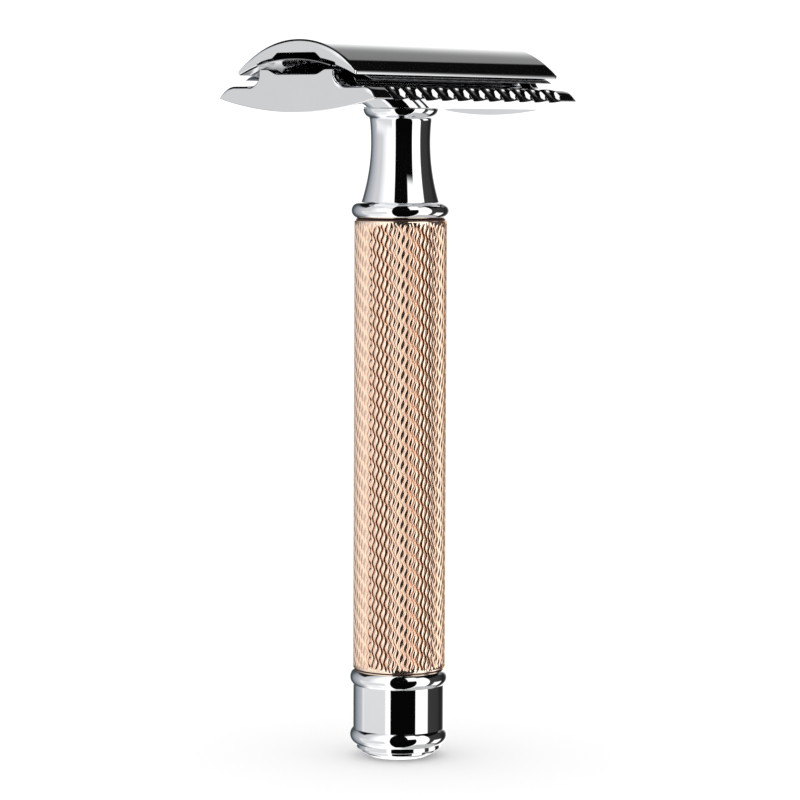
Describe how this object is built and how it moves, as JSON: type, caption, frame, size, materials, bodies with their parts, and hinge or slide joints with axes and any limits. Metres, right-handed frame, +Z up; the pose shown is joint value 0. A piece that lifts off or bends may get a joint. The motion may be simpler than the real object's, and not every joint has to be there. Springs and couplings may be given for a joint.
{
  "type": "safety razor",
  "caption": "Double-edge safety razor: curved cap over a bent blade and a closed-comb base plate, screwed to a chrome neck above a patterned rose-gold grip and a stepped pommel.",
  "frame": {"origin": "middle of the flat foot under the pommel, on the handle's axis", "axes": "+Z up the handle towards the head, X along the cutting edges, Y across the head from edge to edge"},
  "size_m": [0.043, 0.026, 0.094],
  "materials": {
    "chrome_head": "mirror-polished chrome plate on cast zinc",
    "chrome_handle": "mirror-polished chrome plate on turned brass",
    "rose_gold": "polished rose-gold plate with a wavy engine-turned pattern",
    "blade_steel": "ground stainless steel strip",
    "stud_steel": "machined stainless steel",
    "fastener_steel": "plain zinc-plated steel",
    "seal_rubber": "matt black nitrile"
  },
  "bodies": {
    "handle": {"neck": "chrome_handle", "sleeve": "rose_gold", "pommel": "chrome_handle", "core_rod": "fastener_steel", "lock_washer": "fastener_steel", "clamp_nut": "fastener_steel", "foot_plug": "chrome_handle", "upper_seal": "seal_rubber", "lower_seal": "seal_rubber"},
    "base_plate": {"base_plate": "chrome_head"},
    "blade": {"blade": "blade_steel"},
    "cap": {"top_cap": "chrome_head", "cap_stud": "stud_steel", "left_locating_pin": "stud_steel", "right_locating_pin": "stud_steel"}
  },
  "joints": [
    {"name": "head_unscrew", "type": "hinge", "parent": "handle", "child": "base_plate", "pos_m": [0, 0, 0.08545], "axis": [0, 0, 1], "range_deg": [0, 2880]},
    {"name": "cap_lift", "type": "slide", "parent": "base_plate", "child": "cap", "axis": [0, 0, 1], "range_m": [0, 0.0064]},
    {"name": "blade_lift", "type": "slide", "parent": "base_plate", "child": "blade", "axis": [0, 0, 1], "range_m": [0, 0.0032]}
  ],
  "couplings": [
    {"joint": "cap_lift", "follows": "head_unscrew", "m_per_rad": 0.00012732},
    {"joint": "blade_lift", "follows": "head_unscrew", "m_per_rad": 0.00006366}
  ]
}
